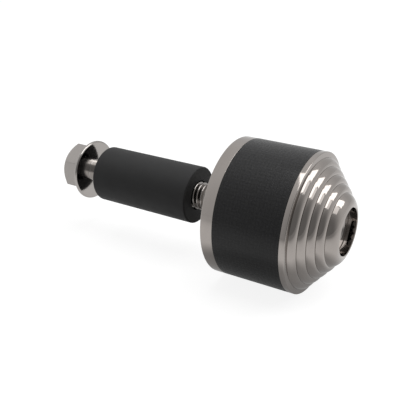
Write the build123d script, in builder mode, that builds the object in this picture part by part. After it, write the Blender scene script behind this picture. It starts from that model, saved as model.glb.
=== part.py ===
"""Bar end weight: a turned steel weight with a woven sleeve and a rubber expander plug.

The axis of the part lies along X. The origin is the centre of the weight's back face, which
seats on the end of the handlebar tube. +X points out to the nose and -X into the tube.
All lengths are in millimetres.
"""

from build123d import *
from math import radians, sqrt, tan
import os

# Weight: outer sizes
weight_diameter = 38.0
rear_ring_width = 3.5
sleeve_length = 18.5
front_rim_width = 1.3
rim_edge_radius = 0.2
edge_break = 0.3

# Nose: convex steps that run down from the front rim to the mouth
first_crease_setback = 1.7
first_crease_depth = 1.4
step_count = 4
step_length = 1.65
step_depth = 1.925
step_bulge = 0.45
lip_length = 2.5
lip_bulge = 0.6

# Inside the weight
sleeve_wall = 2.0
register_diameter = 24.0
mouth_diameter = 12.8
mouth_edge_break = 0.15
fixed_fit = 0.05

# Socket nut
key_size = 6.0
socket_depth = 5.0
socket_chamfer = 0.35
nut_recess = 2.5
nut_head_height = 8.0
nut_head_edge = 0.4
barrel_diameter = 10.0
barrel_setback = 0.8
tapped_depth = 22.0
running_fit = 0.1

# Flange bolt
thread_diameter = 8.0
thread_length = 22.0
thread_clearance = 0.05
bolt_length = 55.0
neck_diameter = 6.5
neck_fillet = 0.3
tip_chamfer = 0.9
flange_diameter = 18.0
flange_edge = 0.8
flange_edge_break = 0.2
flange_slope = 25.0
bolt_head_height = 7.4
bolt_hex_size = 13.0
bolt_hex_end_diameter = 12.3
bolt_hex_chamfer_slope = 40.0

# Rubber plug, in its loose place on the bolt
plug_diameter = 16.4
plug_length = 32.15
plug_bore_clearance = 0.3
plug_edge_radius = 0.4
plug_gap_to_weight = 11.8
plug_gap_to_flange = 5.55

# Places along the axis
sleeve_start = rear_ring_width
sleeve_end = sleeve_start + sleeve_length
first_crease_x = sleeve_end + first_crease_setback
last_crease_x = first_crease_x + step_count * step_length
mouth_x = last_crease_x + lip_length
nut_face_x = mouth_x - nut_recess
nut_seat_x = nut_face_x - nut_head_height
flange_face_x = -(plug_gap_to_weight + plug_length + plug_gap_to_flange)
bolt_tip_x = flange_face_x + bolt_length
thread_start_x = bolt_tip_x - thread_length

# Radii
weight_radius = weight_diameter / 2
first_crease_radius = weight_radius - first_crease_depth
core_radius = weight_radius - sleeve_wall
register_radius = register_diameter / 2
mouth_radius = mouth_diameter / 2
barrel_radius = barrel_diameter / 2
thread_radius = thread_diameter / 2 - thread_clearance
tapped_radius = thread_diameter / 2 + thread_clearance
plug_bore_radius = thread_diameter / 2 + plug_bore_clearance


def crease(index):
    """Point at the foot of a step, as distance along the axis and radius."""
    return (
        first_crease_x + index * step_length,
        first_crease_radius - index * step_depth,
    )


def corner_radius(across_flats):
    """Radius of a hexagon over its corners."""
    return across_flats / sqrt(3)


def cylinder_between(start_x, end_x, radius, mode=Mode.ADD):
    """Cylinder on the axis from one place to another."""
    with BuildSketch(Plane.YZ.offset(start_x)) as section:
        Circle(radius)
    extrude(section.sketch, amount=end_x - start_x, mode=mode)


def hexagon_between(start_x, end_x, across_flats, mode=Mode.ADD):
    """Hexagonal prism on the axis, with two of its flats upright."""
    with BuildSketch(Plane.YZ.offset(start_x)) as section:
        RegularPolygon(across_flats / 2, 6, major_radius=False, rotation=30)
    extrude(section.sketch, amount=end_x - start_x, mode=mode)


# Steel body: core for the sleeve, front rim, convex steps, lip and the bores for the nut
with BuildPart() as nose_weight:
    with BuildSketch(Plane.XZ):
        with BuildLine():
            core = Polyline(
                (0, 0),
                (0, register_radius),
                (sleeve_start, register_radius),
                (sleeve_start, core_radius),
                (sleeve_end, core_radius),
                (sleeve_end, weight_radius),
                (sleeve_end + front_rim_width, weight_radius),
            )
            rim_edge = TangentArc(
                core @ 1,
                (sleeve_end + front_rim_width + rim_edge_radius, weight_radius - rim_edge_radius),
                tangent=(1, 0),
            )
            Line(rim_edge @ 1, crease(0))
            for step in range(step_count):
                SagittaArc(crease(step), crease(step + 1), step_bulge)
            lip = SagittaArc(crease(step_count), (mouth_x, mouth_radius), lip_bulge)
            Polyline(lip @ 1, (mouth_x, 0), (0, 0))
        make_face()
    revolve(axis=Axis.X)
    cylinder_between(0, nut_seat_x, barrel_radius + running_fit, mode=Mode.SUBTRACT)
    cylinder_between(nut_seat_x, mouth_x, mouth_radius, mode=Mode.SUBTRACT)
    mouth_edge = nose_weight.edges().filter_by(GeomType.CIRCLE).sort_by(Axis.X)[-1]
    chamfer(mouth_edge, mouth_edge_break)
nose_weight.part.label = "nose_weight"

# Woven sleeve, trapped between the front rim and the rear ring
with BuildPart() as carbon_sleeve:
    with BuildSketch(Plane.YZ.offset(sleeve_start)):
        Circle(weight_radius)
        Circle(core_radius + fixed_fit, mode=Mode.SUBTRACT)
    extrude(amount=sleeve_length)
carbon_sleeve.part.label = "carbon_sleeve"

# Ring that closes the back of the weight and seats on the bar end
with BuildPart() as rear_ring:
    with BuildSketch(Plane.YZ):
        Circle(weight_radius)
        Circle(register_radius + fixed_fit, mode=Mode.SUBTRACT)
    extrude(amount=rear_ring_width)
    seat_face = rear_ring.faces().sort_by(Axis.X)[0]
    fillet(seat_face.outer_wire().edges(), edge_break)
rear_ring.part.label = "rear_ring"

# Nut with a hexagon socket in its head and a long tapped barrel for the bolt
with BuildPart() as socket_nut:
    cylinder_between(barrel_setback, nut_seat_x, barrel_radius)
    cylinder_between(nut_seat_x, nut_face_x, mouth_radius - running_fit)
    head_face = socket_nut.faces().sort_by(Axis.X)[-1]
    fillet(head_face.outer_wire().edges(), nut_head_edge)
    cylinder_between(barrel_setback, barrel_setback + tapped_depth, tapped_radius, mode=Mode.SUBTRACT)
    hexagon_between(nut_face_x - socket_depth, nut_face_x, key_size, mode=Mode.SUBTRACT)
    countersink_radius = corner_radius(key_size) + socket_chamfer
    with BuildSketch(Plane.XZ):
        Polygon(
            (nut_face_x, 0),
            (nut_face_x, countersink_radius),
            (nut_face_x - countersink_radius, 0),
            align=None,
        )
    revolve(axis=Axis.X, mode=Mode.SUBTRACT)
socket_nut.part.label = "socket_nut"

# Bolt with a chamfered hexagon, a sloped flange, a smooth neck and a thread at its crest size
with BuildPart() as flange_bolt:
    flange_radius = flange_diameter / 2
    flange_back_x = flange_face_x - flange_edge
    hex_end_x = flange_face_x - bolt_head_height
    hexagon_between(hex_end_x, flange_face_x, bolt_hex_size)
    hex_corner_radius = corner_radius(bolt_hex_size)
    hex_end_radius = bolt_hex_end_diameter / 2
    chamfer_length = (hex_corner_radius - hex_end_radius) * tan(radians(bolt_hex_chamfer_slope))
    with BuildSketch(Plane.XZ):
        Polygon(
            (hex_end_x, 0),
            (hex_end_x, hex_end_radius),
            (hex_end_x + chamfer_length, hex_corner_radius),
            (flange_face_x, hex_corner_radius),
            (flange_face_x, 0),
            align=None,
        )
    revolve(axis=Axis.X, mode=Mode.INTERSECT)
    slope_length = flange_radius * tan(radians(flange_slope))
    with BuildSketch(Plane.XZ):
        Polygon(
            (flange_back_x - slope_length, 0),
            (flange_back_x, flange_radius),
            (flange_face_x, flange_radius),
            (flange_face_x, 0),
            align=None,
        )
    revolve(axis=Axis.X)
    cylinder_between(flange_face_x, thread_start_x, neck_diameter / 2)
    neck_edges = flange_bolt.edges().filter_by(GeomType.CIRCLE).group_by(SortBy.RADIUS)[0]
    fillet(neck_edges.sort_by(Axis.X)[0], neck_fillet)
    rim_edges = flange_bolt.edges().filter_by(GeomType.CIRCLE).group_by(SortBy.RADIUS)[-1]
    fillet(rim_edges, flange_edge_break)
    cylinder_between(thread_start_x, bolt_tip_x, thread_radius)
    tip_face = flange_bolt.faces().sort_by(Axis.X)[-1]
    chamfer(tip_face.outer_wire().edges(), tip_chamfer)
flange_bolt.part.label = "flange_bolt"

# Rubber plug that swells in the bar when the bolt is drawn in
with BuildPart() as rubber_plug:
    with BuildSketch(Plane.YZ.offset(-plug_gap_to_weight)):
        Circle(plug_diameter / 2)
        Circle(plug_bore_radius, mode=Mode.SUBTRACT)
    extrude(amount=-plug_length)
    plug_ends = rubber_plug.faces().filter_by(Axis.X)
    outer_edges = [face.outer_wire().edges() for face in plug_ends]
    fillet(outer_edges[0] + outer_edges[1], plug_edge_radius)
rubber_plug.part.label = "rubber_plug"

os.makedirs("parts", exist_ok=True)
export_step(nose_weight.part, "parts/nose_weight.step")
export_step(carbon_sleeve.part, "parts/carbon_sleeve.step")
export_step(rear_ring.part, "parts/rear_ring.step")
export_step(socket_nut.part, "parts/socket_nut.step")
export_step(flange_bolt.part, "parts/flange_bolt.step")
export_step(rubber_plug.part, "parts/rubber_plug.step")
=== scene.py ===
from math import cos, pi, radians, sin, sqrt, tan

import bmesh
import bpy
from mathutils import Euler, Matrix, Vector


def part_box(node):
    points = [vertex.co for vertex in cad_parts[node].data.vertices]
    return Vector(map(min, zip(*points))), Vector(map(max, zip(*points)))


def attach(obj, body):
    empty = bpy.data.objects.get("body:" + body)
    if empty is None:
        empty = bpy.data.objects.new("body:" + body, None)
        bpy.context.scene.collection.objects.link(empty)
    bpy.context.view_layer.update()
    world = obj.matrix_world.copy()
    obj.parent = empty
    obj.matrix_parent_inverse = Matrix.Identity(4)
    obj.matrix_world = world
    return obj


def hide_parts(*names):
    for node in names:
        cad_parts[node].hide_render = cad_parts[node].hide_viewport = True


# Looks of the bar end weight. Lengths are in metres, and the axis of the part is X.
# Sizes and places of the object are in small letters, and settings of the looks in capitals.
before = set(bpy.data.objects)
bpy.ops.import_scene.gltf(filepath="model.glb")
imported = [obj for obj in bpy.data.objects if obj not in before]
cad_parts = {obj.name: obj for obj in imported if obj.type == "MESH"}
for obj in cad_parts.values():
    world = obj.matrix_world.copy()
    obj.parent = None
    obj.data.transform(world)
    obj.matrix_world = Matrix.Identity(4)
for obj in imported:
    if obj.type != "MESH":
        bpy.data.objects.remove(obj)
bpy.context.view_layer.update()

MM = 0.001

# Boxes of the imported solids, and the radii taken from them
weight_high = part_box("nose_weight")[1]
ring_low, ring_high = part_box("rear_ring")
sleeve_low, sleeve_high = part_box("carbon_sleeve")
nut_low, nut_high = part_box("socket_nut")
bolt_low, bolt_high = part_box("flange_bolt")
plug_low, plug_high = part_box("rubber_plug")
weight_radius = weight_high.z
nut_head_radius = nut_high.z
flange_radius = bolt_high.z
plug_radius = plug_high.z

# Nose of the weight
front_rim_width = 1.3 * MM
rim_edge = 0.2 * MM
first_crease_setback = 1.7 * MM
first_crease_depth = 1.4 * MM
step_count = 4
step_length = 1.65 * MM
step_depth = 1.925 * MM
step_bulge = 0.45 * MM
lip_length = 2.5 * MM
lip_bulge = 0.6 * MM
mouth_break = 0.15 * MM

# Inside of the weight
core_radius = 17.0 * MM
register_radius = 12.0 * MM
mouth_radius = 6.4 * MM
barrel_bore_radius = 5.1 * MM
nut_head_height = 8.0 * MM

# Fit of the ring and the band on the core, edge of the ring, and small break of the other edges
fixed_fit = 0.05 * MM
ring_edge = 0.3 * MM
seam_edge = 0.06 * MM

# Socket nut
barrel_radius = 5.0 * MM
tapped_radius = 4.05 * MM
tapped_depth = 22.0 * MM
socket_size = 6.0 * MM
socket_depth = 5.0 * MM
socket_chamfer = 0.35 * MM
nut_head_edge = 0.4 * MM

# Flange bolt
head_height = 7.4 * MM
hexagon_size = 13.0 * MM
hexagon_corner_ease = 0.3 * MM
hexagon_end_radius = 6.15 * MM
hexagon_chamfer = radians(40)
flange_edge = 0.8 * MM
flange_back_ease = 0.2 * MM
flange_face_ease = 0.45 * MM
flange_slope = radians(25)
hexagon_foot_ease = 0.3 * MM
neck_radius = 3.25 * MM
neck_ease = 0.12 * MM
thread_radius = 3.95 * MM
thread_pitch = 1.25 * MM
thread_length = 22.0 * MM
thread_flank = radians(30)
thread_crest_half = thread_pitch / 7
thread_crest_ease = 1.5 * thread_crest_half
thread_buried = 0.02 * MM
tip_chamfer = 0.9 * MM
flange_face = bolt_low.x + head_height
flange_back = flange_face - flange_edge
thread_start = bolt_high.x - thread_length

# Rubber plug
plug_bore_radius = 4.3 * MM
plug_edge = 0.4 * MM

# Fineness of the meshes
TURN_STEPS = 288
HEXAGON_STEPS = 144
THREAD_STEPS = 96
STEP_POINTS = 22
EASE_POINTS = 5
EASE_LEAD = 0.2
CORNER_OFFSETS = 0.25, 0.5, 0.75, 1.0, 1.3, 1.8
WELD_DISTANCE = 1e-7
SHARP_ANGLE = radians(30)
full_turn = [2 * pi * step / TURN_STEPS for step in range(TURN_STEPS)]


def arc(start, end, bulge, count):
    """Points after start and up to end, on an arc that bulges to the left of the way it runs."""
    start, end = Vector(start), Vector(end)
    chord = end - start
    radius = (chord.length_squared / 4 + bulge ** 2) / (2 * bulge)
    outward = Vector((-chord.y, chord.x)).normalized()
    centre = (start + end) / 2 + outward * (bulge - radius)
    first, last = start - centre, end - centre
    sweep = first.angle_signed(last)
    points = []
    for step in range(1, count + 1):
        turn = -sweep * step / count
        points.append(
            (
                centre.x + first.x * cos(turn) - first.y * sin(turn),
                centre.y + first.x * sin(turn) + first.y * cos(turn),
            )
        )
    return points


def eased(corners, closed=False):
    """Outline through corners of (x, radius, ease), each rounded to its own ease.

    A point just outside each end of an arc keeps the sides beside it flat in the smooth shading.
    """
    outline = []
    last = len(corners) - 1
    for index, (x, y, ease) in enumerate(corners):
        corner = Vector((x, y))
        if ease == 0 or (not closed and index in (0, last)):
            outline.append((x, y))
            continue
        before = Vector(corners[index - 1][:2]) - corner
        after = Vector(corners[(index + 1) % len(corners)][:2]) - corner
        half = before.angle(after) / 2
        reach = ease / tan(half)
        middle = (before.normalized() + after.normalized()).normalized()
        centre = corner + middle * ease / sin(half)
        first = corner + before.normalized() * reach - centre
        final = corner + after.normalized() * reach - centre
        outline.append(tuple(centre + first + before.normalized() * ease * EASE_LEAD))
        for step in range(EASE_POINTS + 1):
            spoke = first.slerp(final, step / EASE_POINTS) * ease
            outline.append(tuple(centre + spoke))
        outline.append(tuple(centre + final + after.normalized() * ease * EASE_LEAD))
    return outline


def lathed(outline_at, angles, closed):
    """Points and faces of a form swept round the X axis, with the outline that outline_at gives."""
    columns = [outline_at(angle) for angle in angles]
    length = len(columns[0])
    points = [
        (x, radius * cos(angle), radius * sin(angle))
        for angle, column in zip(angles, columns)
        for x, radius in column
    ]
    faces = []
    for turn in range(len(angles)):
        here = turn * length
        there = (turn + 1) % len(angles) * length
        for place in range(length if closed else length - 1):
            after = (place + 1) % length
            faces.append((here + place, here + after, there + after, there + place))
    return points, faces


def piece(name, forms, finish, body, node):
    """Object made of one or more forms, which stands for a node and rides on its body."""
    slot, material = finish
    points, faces = [], []
    for form_points, form_faces in forms:
        start = len(points)
        points += form_points
        faces += [tuple(start + corner for corner in face) for face in form_faces]
    mesh = bpy.data.meshes.new(name)
    mesh.from_pydata(points, [], faces)
    mesh.validate()
    tidy_mesh(mesh)
    mesh.materials.append(material)
    made = bpy.data.objects.new(name, mesh)
    bpy.context.scene.collection.objects.link(made)
    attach(made, body)
    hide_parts(node)


def tidy_mesh(mesh):
    """Welds doubled points, turns the faces outwards and shades all but the sharp edges smoothly."""
    work = bmesh.new()
    work.from_mesh(mesh)
    bmesh.ops.remove_doubles(work, verts=work.verts, dist=WELD_DISTANCE)
    bmesh.ops.recalc_face_normals(work, faces=work.faces)
    work.to_mesh(mesh)
    work.free()
    mesh.shade_smooth()
    mesh.set_sharp_from_angle(angle=SHARP_ANGLE)


def hexagon_radius(angle, across_flats, ease=0.0):
    """Radius of a hexagon with flats that face along Y, with its corners rounded to ease."""
    off_flat = (angle + pi / 6) % (pi / 3) - pi / 6
    off_corner = pi / 6 - abs(off_flat)
    flat = across_flats / 2 / cos(off_flat)
    if ease == 0:
        return flat
    centre = (across_flats / 2 - ease) / cos(pi / 6)
    inside = ease ** 2 - (centre * sin(off_corner)) ** 2
    if inside <= 0:
        return flat
    return min(flat, centre * cos(off_corner) + sqrt(inside))


def hexagon_turn():
    """Angles round a hexagon, close together at its corners."""
    near_corner = [radians(offset) for offset in CORNER_OFFSETS]
    angles = {2 * pi * step / HEXAGON_STEPS for step in range(HEXAGON_STEPS)}
    for side in range(6):
        corner = pi / 6 + side * pi / 3
        angles.update(corner + offset for offset in near_corner)
        angles.update(corner - offset for offset in near_corner)
    return sorted(round(angle, 7) for angle in angles)


# Materials
NOISE_ROUGHNESS = 0.6
MIX_FACTOR = 0
MIX_COLOURS = 6, 7
MIX_COLOUR_RESULT = 2


def new_material(name):
    """Material with its node tree and its shader."""
    material = bpy.data.materials.new(name)
    material.use_nodes = True
    tree = material.node_tree
    return material, tree, tree.nodes["Principled BSDF"]


def maths(tree, operation, first, second=None, third=None):
    """Output of a maths node fed by sockets or numbers."""
    node = tree.nodes.new("ShaderNodeMath")
    node.operation = operation
    for place, value in enumerate((first, second, third)):
        if value is None:
            continue
        if isinstance(value, (int, float)):
            node.inputs[place].default_value = value
        else:
            tree.links.new(value, node.inputs[place])
    return node.outputs[0]


def blend_values(tree, factor, low, high):
    """Output between low and high, as the factor runs from 0 to 1."""
    node = tree.nodes.new("ShaderNodeMapRange")
    tree.links.new(factor, node.inputs["Value"])
    for socket, value in (("To Min", low), ("To Max", high)):
        if isinstance(value, (int, float)):
            node.inputs[socket].default_value = value
        else:
            tree.links.new(value, node.inputs[socket])
    return node.outputs[0]


def soft_step(tree, value, start, end, low, high):
    """Output that runs smoothly from low at the start value to high at the end value."""
    node = tree.nodes.new("ShaderNodeMapRange")
    node.interpolation_type = "SMOOTHSTEP"
    tree.links.new(value, node.inputs["Value"])
    node.inputs["From Min"].default_value = start
    node.inputs["From Max"].default_value = end
    node.inputs["To Min"].default_value = low
    node.inputs["To Max"].default_value = high
    return node.outputs[0]


def round_axis(tree):
    """Sockets for the place along the axis, the radius and the angle round the axis."""
    place = tree.nodes.new("ShaderNodeTexCoord")
    split = tree.nodes.new("ShaderNodeSeparateXYZ")
    tree.links.new(place.outputs["Object"], split.inputs[0])
    along, side, height = split.outputs
    squares = maths(tree, "MULTIPLY_ADD", side, side, maths(tree, "MULTIPLY", height, height))
    return along, maths(tree, "SQRT", squares), maths(tree, "ARCTAN2", height, side)


def noise(tree, coordinates, scale, detail):
    """Noise at sockets or numbers of X, Y and Z."""
    vector = tree.nodes.new("ShaderNodeCombineXYZ")
    for place, value in enumerate(coordinates):
        if isinstance(value, (int, float)):
            vector.inputs[place].default_value = value
        else:
            tree.links.new(value, vector.inputs[place])
    node = tree.nodes.new("ShaderNodeTexNoise")
    node.inputs["Scale"].default_value = scale
    node.inputs["Detail"].default_value = detail
    node.inputs["Roughness"].default_value = NOISE_ROUGHNESS
    tree.links.new(vector.outputs[0], node.inputs["Vector"])
    return node.outputs["Fac"]


def shade_between(tree, factor, low, high):
    """Colour between low and high, as the factor runs from 0 to 1."""
    ramp = tree.nodes.new("ShaderNodeValToRGB")
    ramp.color_ramp.elements[0].color = (*low, 1)
    ramp.color_ramp.elements[1].color = (*high, 1)
    tree.links.new(factor, ramp.inputs[0])
    return ramp.outputs[0]


def raise_surface(tree, height, depth, target):
    """Bump of a real depth, from a height between 0 and 1."""
    bump = tree.nodes.new("ShaderNodeBump")
    bump.inputs["Distance"].default_value = depth
    bump.inputs["Strength"].default_value = 1.0
    tree.links.new(height, bump.inputs["Height"])
    tree.links.new(bump.outputs["Normal"], target)


def blend_colours(tree, factor, low, high):
    """Colour that runs from the socket low to the colour high, as the factor runs from 0 to 1."""
    node = tree.nodes.new("ShaderNodeMix")
    node.data_type = "RGBA"
    first, second = MIX_COLOURS
    tree.links.new(factor, node.inputs[MIX_FACTOR])
    tree.links.new(low, node.inputs[first])
    node.inputs[second].default_value = (*high, 1)
    return node.outputs[MIX_COLOUR_RESULT]


# Steel: tool marks and clouds of tone, stretched round the axis
MARK_SCALE = 9000
MARK_RUN = 0.4 * MM
MARK_SHARE = 0.6
STEEL_CLOUD_SCALE = 350
STEEL_CLOUD_RUN = 3 * MM


def turned_steel(name, dark, light, roughness, spread, mark_depth, zones=None):
    """Steel with fine tool marks that run round the axis, and zones of another roughness and colour
    where given, such as the bolt's neck with its painted light.
    """
    material, tree, shader = new_material(name)
    along, radius, angle = round_axis(tree)
    mark_angle = maths(tree, "MULTIPLY", angle, MARK_RUN)
    cloud_angle = maths(tree, "MULTIPLY", angle, STEEL_CLOUD_RUN)
    marks = noise(tree, (along, radius, mark_angle), MARK_SCALE, detail=4.0)
    clouds = noise(tree, (along, radius, cloud_angle), STEEL_CLOUD_SCALE, detail=2.0)
    shader.inputs["Metallic"].default_value = 1.0
    shade = shade_between(tree, clouds, dark, light)
    cloud_part = maths(tree, "MULTIPLY", clouds, 1.0 - MARK_SHARE)
    grain = maths(tree, "MULTIPLY_ADD", marks, MARK_SHARE, cloud_part)
    dullness = blend_values(tree, grain, roughness - spread, roughness + spread)
    if zones:
        for mask, zone_roughness, zone_colour in zones(tree, along):
            dullness = blend_values(tree, mask, dullness, zone_roughness)
            # A zone's colour replaces the steel's; on the bolt's neck this colour is painted light.
            shade = blend_colours(tree, mask, shade, zone_colour)
    tree.links.new(shade, shader.inputs["Base Color"])
    tree.links.new(dullness, shader.inputs["Roughness"])
    raise_surface(tree, marks, mark_depth, shader.inputs["Normal"])
    return material


# Zones of the bolt: where they fade, and their roughness and colour
hexagon_zone_end = flange_back - 1.2 * MM
hexagon_zone_fade = 0.4 * MM
neck_zone_start = flange_face + 0.03 * MM
neck_start_fade = 0.1 * MM
neck_end_fade = 0.3 * MM
HEXAGON_FINISH = 0.42, (0.318, 0.299, 0.285)
# The neck's low roughness is its real polish; its pale colour is painted light, far paler than the
# steel round it.
NECK_POLISH_AND_PAINTED_LIGHT = 0.15, (0.7, 0.68, 0.665)


def bolt_zones(tree, along):
    """Masks, roughness and colour of the satin hexagon and of the polished neck, whose colour is
    painted light: paler steel that stands for the light falling on it.
    """
    hexagon = soft_step(tree, along, hexagon_zone_end - hexagon_zone_fade, hexagon_zone_end, 1.0, 0.0)
    past_flange = soft_step(tree, along, neck_zone_start, neck_zone_start + neck_start_fade, 0.0, 1.0)
    before_thread = soft_step(tree, along, thread_start - neck_end_fade, thread_start, 1.0, 0.0)
    neck = maths(tree, "MULTIPLY", past_flange, before_thread)
    return (hexagon, *HEXAGON_FINISH), (neck, *NECK_POLISH_AND_PAINTED_LIGHT)


# Weave: squares round the band, the sway of their edges, and the fibres in each tow
weave_pitch = 0.975 * MM
weave_squares = 2 * round(pi * weight_radius / weave_pitch)
SWAY_SCALE = 420
SWAY_REACH = 0.7
FIBRE_SCALE = 3000
FIBRE_STRETCH = 0.3
FIBRE_SHARE = 0.85
TOW_EDGE = 0.6
WEAVE_LOW = 0.34
WEAVE_HIGH = 0.72
WEAVE_RELIEF = 0.025 * MM
WEAVE_DARK = 0.006, 0.006, 0.0063
WEAVE_LIGHT = 0.019, 0.019, 0.0198
WEAVE_ROUGHNESS = 0.48, 0.36


def lacquered_weave(name):
    """Black woven fibre under a thin lacquer: square tows that pass over and under each other."""
    material, tree, shader = new_material(name)
    along, _, angle = round_axis(tree)
    row = maths(tree, "DIVIDE", along, weave_pitch)
    column = maths(tree, "MULTIPLY", angle, weave_squares / (2 * pi))
    column = maths(tree, "ADD", column, weave_squares)
    round_about = maths(tree, "MULTIPLY", angle, weight_radius)
    row_sway = noise(tree, (along, round_about, 0), SWAY_SCALE, detail=2.0)
    column_sway = noise(tree, (round_about, along, 1), SWAY_SCALE, detail=2.0)
    row = maths(tree, "MULTIPLY_ADD", row_sway, SWAY_REACH, row)
    column = maths(tree, "MULTIPLY_ADD", column_sway, SWAY_REACH, column)
    squares = maths(tree, "ADD", maths(tree, "FLOOR", row), maths(tree, "FLOOR", column))
    over = maths(tree, "MODULO", squares, 2)
    in_row = maths(tree, "SINE", maths(tree, "MULTIPLY", maths(tree, "FRACT", row), pi))
    in_column = maths(tree, "SINE", maths(tree, "MULTIPLY", maths(tree, "FRACT", column), pi))
    lengthways = maths(tree, "MULTIPLY", in_column, blend_values(tree, in_row, TOW_EDGE, 1.0))
    crossways = maths(tree, "MULTIPLY", in_row, blend_values(tree, in_column, TOW_EDGE, 1.0))
    height = blend_values(tree, over, lengthways, crossways)
    slow_along = maths(tree, "MULTIPLY", along, FIBRE_STRETCH)
    slow_about = maths(tree, "MULTIPLY", round_about, FIBRE_STRETCH)
    long_fibres = noise(tree, (slow_along, round_about, 0), FIBRE_SCALE, detail=4.0)
    cross_fibres = noise(tree, (along, slow_about, 0), FIBRE_SCALE, detail=4.0)
    fibres = blend_values(tree, over, long_fibres, cross_fibres)
    tow_part = maths(tree, "MULTIPLY", height, 1.0 - FIBRE_SHARE)
    mixed_tow = maths(tree, "MULTIPLY_ADD", fibres, FIBRE_SHARE, tow_part)
    tow = soft_step(tree, mixed_tow, WEAVE_LOW, WEAVE_HIGH, 0.0, 1.0)
    shade = shade_between(tree, tow, WEAVE_DARK, WEAVE_LIGHT)
    tree.links.new(shade, shader.inputs["Base Color"])
    tree.links.new(blend_values(tree, tow, *WEAVE_ROUGHNESS), shader.inputs["Roughness"])
    shader.inputs["Specular IOR Level"].default_value = 0.12
    shader.inputs["Coat Weight"].default_value = 0.25
    shader.inputs["Coat Roughness"].default_value = 0.16
    shader.inputs["Coat IOR"].default_value = 1.5
    raise_surface(tree, tow, WEAVE_RELIEF, shader.inputs["Normal"])
    return material


# Rubber: its grain, and its clouds of tone
RUBBER_GRAIN_SCALE = 6000
RUBBER_CLOUD_SCALE = 260
RUBBER_RELIEF = 0.012 * MM
RUBBER_DARK = 0.011, 0.011, 0.0113
RUBBER_LIGHT = 0.016, 0.016, 0.0163
RUBBER_ROUGHNESS = 0.62, 0.78


def matt_rubber(name):
    """Black rubber with a fine moulded grain."""
    material, tree, shader = new_material(name)
    place = tree.nodes.new("ShaderNodeTexCoord")
    split = tree.nodes.new("ShaderNodeSeparateXYZ")
    tree.links.new(place.outputs["Object"], split.inputs[0])
    grain = noise(tree, split.outputs, RUBBER_GRAIN_SCALE, detail=3.0)
    clouds = noise(tree, split.outputs, RUBBER_CLOUD_SCALE, detail=3.0)
    shade = shade_between(tree, clouds, RUBBER_DARK, RUBBER_LIGHT)
    tree.links.new(shade, shader.inputs["Base Color"])
    tree.links.new(blend_values(tree, clouds, *RUBBER_ROUGHNESS), shader.inputs["Roughness"])
    shader.inputs["Specular IOR Level"].default_value = 0.35
    raise_surface(tree, grain, RUBBER_RELIEF, shader.inputs["Normal"])
    return material


# Finishes: the slot of the record and the material
turned = turned_steel(
    "turned_steel",
    dark=(0.285, 0.262, 0.245),
    light=(0.325, 0.298, 0.28),
    roughness=0.085,
    spread=0.035,
    mark_depth=0.0006 * MM,
)
polished_nut = turned_steel(
    "polished_nut_steel",
    dark=(0.26, 0.245, 0.235),
    light=(0.30, 0.28, 0.265),
    roughness=0.10,
    spread=0.04,
    mark_depth=0.0004 * MM,
)
polished_bolt = turned_steel(
    "polished_bolt_steel",
    dark=(0.30, 0.283, 0.27),
    light=(0.335, 0.315, 0.30),
    roughness=0.10,
    spread=0.04,
    mark_depth=0.0004 * MM,
    zones=bolt_zones,
)
weight_steel = "weight_steel", turned
nut_steel = "nut_steel", polished_nut
bolt_steel = "bolt_steel", polished_bolt
carbon_weave = "carbon_weave", lacquered_weave("lacquered_weave")
plug_rubber = "plug_rubber", matt_rubber("matt_rubber")


# Pieces
def nose_outline():
    """Outline of the steel body, from the nut's bore round the core to the stepped nose and mouth."""
    first_crease = Vector((sleeve_high.x + first_crease_setback, weight_radius - first_crease_depth))
    rim_centre = Vector((sleeve_high.x + front_rim_width, weight_radius - rim_edge))
    outline = [
        (0, barrel_bore_radius),
        (0, register_radius),
        (ring_high.x, register_radius),
        (ring_high.x, core_radius),
        (sleeve_high.x, core_radius),
        (sleeve_high.x, weight_radius - seam_edge),
        (sleeve_high.x + seam_edge, weight_radius),
        (sleeve_high.x + front_rim_width, weight_radius),
    ]
    for step in range(1, STEP_POINTS // 2 + 1):
        turn = pi / 2 * step / (STEP_POINTS // 2)
        outline.append((rim_centre.x + rim_edge * sin(turn), rim_centre.y + rim_edge * cos(turn)))
    outline.append(tuple(first_crease))
    crease = first_crease
    for _ in range(step_count):
        following = crease + Vector((step_length, -step_depth))
        outline += arc(crease, following, step_bulge, STEP_POINTS)
        crease = following
    mouth = Vector((crease.x + lip_length, mouth_radius))
    lip = arc(crease, mouth, lip_bulge, STEP_POINTS * 2)
    outline += [point for point in lip if (Vector(point) - mouth).length > mouth_break]
    nut_seat = nut_high.x - nut_head_height
    outline += [
        (mouth.x - mouth_break, mouth_radius),
        (nut_seat, mouth_radius),
        (nut_seat, barrel_bore_radius),
    ]
    return outline


def ring_corners():
    """Corners of the ring's section, each with its ease."""
    inner = register_radius + fixed_fit
    return [
        (ring_low.x, inner, 0),
        (ring_low.x, weight_radius, ring_edge),
        (ring_high.x, weight_radius, seam_edge),
        (ring_high.x, inner, 0),
    ]


def sleeve_corners():
    """Corners of the woven sleeve's section, each with its ease."""
    inner = core_radius + fixed_fit
    return [
        (sleeve_low.x, inner, 0),
        (sleeve_low.x, weight_radius, seam_edge),
        (sleeve_high.x, weight_radius, seam_edge),
        (sleeve_high.x, inner, 0),
    ]


def plug_corners():
    """Corners of the rubber plug's section, each with its ease."""
    return [
        (plug_low.x, plug_bore_radius, 0),
        (plug_low.x, plug_radius, plug_edge),
        (plug_high.x, plug_radius, plug_edge),
        (plug_high.x, plug_bore_radius, 0),
    ]


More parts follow.
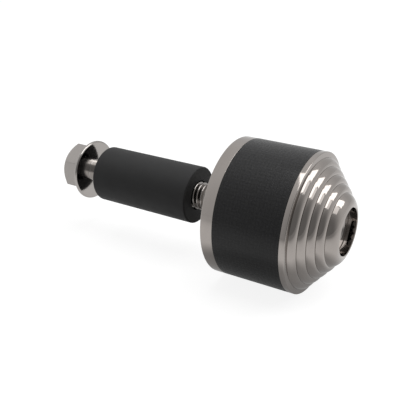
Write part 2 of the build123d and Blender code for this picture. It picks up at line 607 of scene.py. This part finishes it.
def nut_outline(angle):
    """Outline of the nut, from the bottom of its tapped hole round to the bottom of its socket."""
    seat = nut_high.x - nut_head_height
    socket_radius = hexagon_radius(angle, socket_size)
    countersink = socket_size / sqrt(3) + socket_chamfer
    return eased(
        [
            (nut_low.x + tapped_depth, 0, 0),
            (nut_low.x + tapped_depth, tapped_radius, 0),
            (nut_low.x, tapped_radius, 0),
            (nut_low.x, barrel_radius, seam_edge),
            (seat, barrel_radius, 0),
            (seat, nut_head_radius, seam_edge),
            (nut_high.x, nut_head_radius, nut_head_edge),
            (nut_high.x, countersink, 0),
            (nut_high.x - countersink + socket_radius, socket_radius, 0),
            (nut_high.x - socket_depth, socket_radius, 0),
            (nut_high.x - socket_depth, 0, 0),
        ]
    )


def bolt_outline(angle):
    """Outline of the bolt, from the end of its hexagon to the tip of the thread, at its root size."""
    side = hexagon_radius(angle, hexagon_size, hexagon_corner_ease)
    chamfer_end = bolt_low.x + (side - hexagon_end_radius) * tan(hexagon_chamfer)
    slope_start = flange_back - (flange_radius - side) * tan(flange_slope)
    tip_radius = thread_radius - tip_chamfer
    return eased(
        [
            (bolt_low.x, 0, 0),
            (bolt_low.x, hexagon_end_radius, seam_edge),
            (chamfer_end, side, 0),
            (slope_start, side, hexagon_foot_ease),
            (flange_back, flange_radius, flange_back_ease),
            (flange_face, flange_radius, flange_face_ease),
            (flange_face, neck_radius, neck_ease),
            (bolt_high.x - neck_radius + tip_radius, neck_radius, 0),
            (bolt_high.x, tip_radius, 0),
            (bolt_high.x, 0, 0),
        ]
    )


def thread():
    """Points and faces of the ridge of a right-hand thread, wound on the root of the bolt."""
    depth = thread_radius - neck_radius
    base_half = thread_crest_half + depth * tan(thread_flank)
    base_radius = neck_radius - thread_buried
    section = eased(
        [
            (-base_half, base_radius, 0),
            (-thread_crest_half, thread_radius, thread_crest_ease),
            (thread_crest_half, thread_radius, thread_crest_ease),
            (base_half, base_radius, 0),
        ]
    )
    turns = (thread_length - 2 * base_half) / thread_pitch
    last = int(turns * THREAD_STEPS)
    points = []
    for step in range(last + 1):
        angle = 2 * pi * step / THREAD_STEPS
        centre = thread_start + base_half + thread_pitch * step / THREAD_STEPS
        # The ridge rises from the neck over its first turn
        run_in = min(1.0, step / THREAD_STEPS)
        for offset, radius in section:
            x = centre + offset
            tip_limit = thread_radius - tip_chamfer + bolt_high.x - x
            raised = base_radius + (radius - base_radius) * run_in
            height = min(raised, tip_limit)
            points.append((x, height * cos(angle), height * sin(angle)))
    width = len(section)
    faces = [
        (
            step * width + place,
            step * width + place + 1,
            (step + 1) * width + place + 1,
            (step + 1) * width + place,
        )
        for step in range(last)
        for place in range(width - 1)
    ]
    return points, faces


def turned_form(profile):
    """Form with the same closed outline all the way round."""
    return lathed(lambda angle: profile, full_turn, True)


nose_form = turned_form(nose_outline())
ring_form = turned_form(eased(ring_corners(), closed=True))
sleeve_form = turned_form(eased(sleeve_corners(), closed=True))
plug_form = turned_form(eased(plug_corners(), closed=True))
nut_form = lathed(nut_outline, hexagon_turn(), False)
bolt_form = lathed(bolt_outline, hexagon_turn(), False)
piece("turned_nose", [nose_form], weight_steel, "weight", "nose_weight")
piece("back_ring", [ring_form], weight_steel, "weight", "rear_ring")
piece("woven_sleeve", [sleeve_form], carbon_weave, "weight", "carbon_sleeve")
piece("expander_plug", [plug_form], plug_rubber, "plug", "rubber_plug")
piece("mouth_nut", [nut_form], nut_steel, "nut", "socket_nut")
piece("threaded_bolt", [bolt_form, thread()], bolt_steel, "bolt", "flange_bolt")


# Stage

# Brightness of the studio: dim at its front right and dimmer at its far side, by direction
DIM_RIGHT = -0.8, 0.02
DIM_FRONT = -0.945, 0.04
DIM_SLANT = -0.54
DIM_DEPTH = 0.704
FAR_SIDE = 0.64, 0.99
FAR_LEVEL = 0.76
DIFFUSE_LEVEL = 0.42

# Floor: its paint, its glow for the camera and for the metal, and its shade under the weight
FLOOR_HALF = 4.0
FLOOR_PAINT = 0.2
FLOOR_GLOW = 0.88
NEAR_GLOW = 0.96
FAR_GLOW = 0.85
GLOW_FADE = 0.045, 0.2
CONTACT_STRETCH = 0.85
CONTACT_AHEAD = 0.0102
CONTACT_BEFORE = 0.006
CONTACT_FADE = 0.019, 0.034
CONTACT_LEVEL = 0.35

# Lamps and camera: metres, degrees and millimetres of lens
LAMP_HEIGHT = 1.0
CAMERA_PLACE = 0.078442, -0.145538, 0.077080
CAMERA_TILT = 64.479
CAMERA_TURN = 30.763
CAMERA_LENS = 56.53
CAMERA_SENSOR = 36.0


def flat_length(tree, x, y):
    """Length of a level vector."""
    vector = tree.nodes.new("ShaderNodeCombineXYZ")
    tree.links.new(x, vector.inputs["X"])
    tree.links.new(y, vector.inputs["Y"])
    length = tree.nodes.new("ShaderNodeVectorMath")
    length.operation = "LENGTH"
    tree.links.new(vector.outputs[0], length.inputs[0])
    return length.outputs["Value"]


def studio_shade(tree, x, y):
    """Brightness of the studio in a direction: dimmer towards the front right and at the far side."""
    right = soft_step(tree, x, *DIM_RIGHT, 0.0, 1.0)
    across = maths(tree, "MULTIPLY_ADD", x, DIM_SLANT, y)
    front = soft_step(tree, across, *DIM_FRONT, DIM_DEPTH, 0.0)
    dim = maths(tree, "SUBTRACT", 1.0, maths(tree, "MULTIPLY", right, front))
    return maths(tree, "MULTIPLY", dim, soft_step(tree, y, *FAR_SIDE, 1.0, FAR_LEVEL))


def ray_kinds(tree):
    """Sockets that are 1 for rays in metal or glass, and 1 for rays of the camera."""
    path = tree.nodes.new("ShaderNodeLightPath")
    in_metal_or_glass = maths(
        tree, "MAXIMUM", path.outputs["Is Glossy Ray"], path.outputs["Is Transmission Ray"]
    )
    return in_metal_or_glass, path.outputs["Is Camera Ray"]


def mirrored_floor(tree):
    """Glow of the floor as the metal sees it: paler far away, and shaded where the weight stands."""
    place = tree.nodes.new("ShaderNodeTexCoord")
    split = tree.nodes.new("ShaderNodeSeparateXYZ")
    tree.links.new(place.outputs["Object"], split.inputs[0])
    x, y = split.outputs["X"], split.outputs["Y"]
    distance = flat_length(tree, x, y)
    ahead = maths(tree, "DIVIDE", x, distance)
    aside = maths(tree, "DIVIDE", y, distance)
    far_glow = maths(tree, "MULTIPLY", studio_shade(tree, ahead, aside), FAR_GLOW)
    away = soft_step(tree, distance, *GLOW_FADE, 0.0, 1.0)
    faded = blend_values(tree, away, NEAR_GLOW, far_glow)
    beside = maths(tree, "MULTIPLY_ADD", x, CONTACT_STRETCH, -CONTACT_AHEAD)
    before = maths(tree, "ADD", y, CONTACT_BEFORE)
    clear = flat_length(tree, beside, before)
    contact = soft_step(tree, clear, *CONTACT_FADE, CONTACT_LEVEL, 1.0)
    return maths(tree, "MULTIPLY", contact, faded)


def make_floor():
    """Plain pale floor under the weight, which keeps a soft shadow."""
    low, high, level = -FLOOR_HALF, FLOOR_HALF, -weight_radius
    mesh = bpy.data.meshes.new("floor")
    corners = [(low, low, level), (high, low, level), (high, high, level), (low, high, level)]
    mesh.from_pydata(corners, [], [(0, 1, 2, 3)])
    floor = bpy.data.objects.new("floor", mesh)
    bpy.context.scene.collection.objects.link(floor)
    material = bpy.data.materials.new("floor_paint")
    material.use_nodes = True
    tree = material.node_tree
    tree.nodes.clear()
    output = tree.nodes.new("ShaderNodeOutputMaterial")
    paint = tree.nodes.new("ShaderNodeBsdfDiffuse")
    paint.inputs["Color"].default_value = (FLOOR_PAINT, FLOOR_PAINT, FLOOR_PAINT, 1)
    glow = tree.nodes.new("ShaderNodeEmission")
    glow.inputs["Color"].default_value = (1, 1, 1, 1)
    in_metal_or_glass, in_camera = ray_kinds(tree)
    shown = maths(tree, "MULTIPLY", in_metal_or_glass, mirrored_floor(tree))
    tree.links.new(blend_values(tree, in_camera, shown, FLOOR_GLOW), glow.inputs["Strength"])
    both = tree.nodes.new("ShaderNodeAddShader")
    tree.links.new(paint.outputs[0], both.inputs[0])
    tree.links.new(glow.outputs[0], both.inputs[1])
    tree.links.new(both.outputs[0], output.inputs["Surface"])
    mesh.materials.append(material)


def make_world():
    """Pale studio dome, dimmer on the side that the camera stands on."""
    world = bpy.data.worlds.new("studio")
    bpy.context.scene.world = world
    world.use_nodes = True
    tree = world.node_tree
    background = tree.nodes["Background"]
    background.inputs["Color"].default_value = (1, 1, 1, 1)
    place = tree.nodes.new("ShaderNodeTexCoord")
    split = tree.nodes.new("ShaderNodeSeparateXYZ")
    tree.links.new(place.outputs["Generated"], split.inputs[0])
    dome = studio_shade(tree, split.outputs["X"], split.outputs["Y"])
    in_metal_or_glass, in_camera = ray_kinds(tree)
    lighting = maths(tree, "MULTIPLY", dome, DIFFUSE_LEVEL)
    around = blend_values(tree, in_metal_or_glass, lighting, dome)
    tree.links.new(blend_values(tree, in_camera, around, 1.0), background.inputs["Strength"])


def make_lamp(name, x, y, length, width, turn, radiance):
    """Level soft lamp above the part, which shines down."""
    lamp = bpy.data.lights.new(name, "AREA")
    lamp.shape = "RECTANGLE"
    lamp.size = length
    lamp.size_y = width
    lamp.energy = radiance * pi * length * width
    holder = bpy.data.objects.new(name, lamp)
    holder.location = (x, y, LAMP_HEIGHT)
    holder.rotation_euler = Euler((0, 0, radians(turn)))
    bpy.context.scene.collection.objects.link(holder)


def make_camera():
    """Camera at the photograph's place and angle."""
    camera = bpy.data.cameras.new("camera")
    camera.lens = CAMERA_LENS
    camera.sensor_width = CAMERA_SENSOR
    camera.clip_start = 0.01
    camera.clip_end = 20.0
    holder = bpy.data.objects.new("camera", camera)
    holder.location = CAMERA_PLACE
    holder.rotation_euler = Euler((radians(CAMERA_TILT), 0, radians(CAMERA_TURN)))
    bpy.context.scene.collection.objects.link(holder)
    bpy.context.scene.camera = holder


make_floor()
make_world()
make_lamp("far_lamp", x=0.90, y=0.82, length=1.50, width=0.45, turn=44, radiance=3.0)
make_lamp("long_lamp", x=0.76, y=0.59, length=1.40, width=0.45, turn=25, radiance=3.0)
make_lamp("short_lamp", x=0.065, y=-0.03, length=0.73, width=0.64, turn=12, radiance=3.0)
make_lamp("side_lamp", x=0.82, y=0.02, length=0.80, width=0.50, turn=18, radiance=1.2)
make_camera()
bpy.context.scene.view_settings.view_transform = "Standard"
